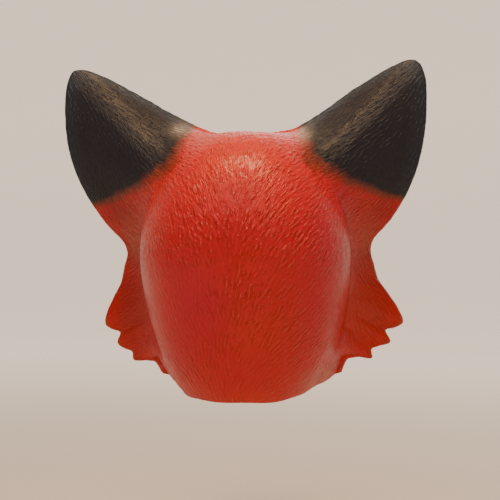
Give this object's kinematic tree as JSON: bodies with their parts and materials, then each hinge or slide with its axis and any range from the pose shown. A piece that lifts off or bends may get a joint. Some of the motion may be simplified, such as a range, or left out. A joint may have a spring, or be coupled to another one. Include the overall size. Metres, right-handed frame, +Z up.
{
  "type": "latex fox mask",
  "caption": "Hollow latex animal mask drawn over the whole head, with wide leaning ears, tufted cheeks, a closed muzzle, cut eye openings and an open neck hem.",
  "frame": {"origin": "inside top of the crown, where the mask sits on the head", "axes": "+Z up, the face looks along -Y, +X is the wearer's left"},
  "size_m": [0.3436, 0.308, 0.3086],
  "materials": {
    "latex_skin": "semi-gloss latex, red-orange with black ears, painted in strokes"
  },
  "bodies": {
    "root": {"latex_skin": "latex_skin"}
  },
  "joints": []
}
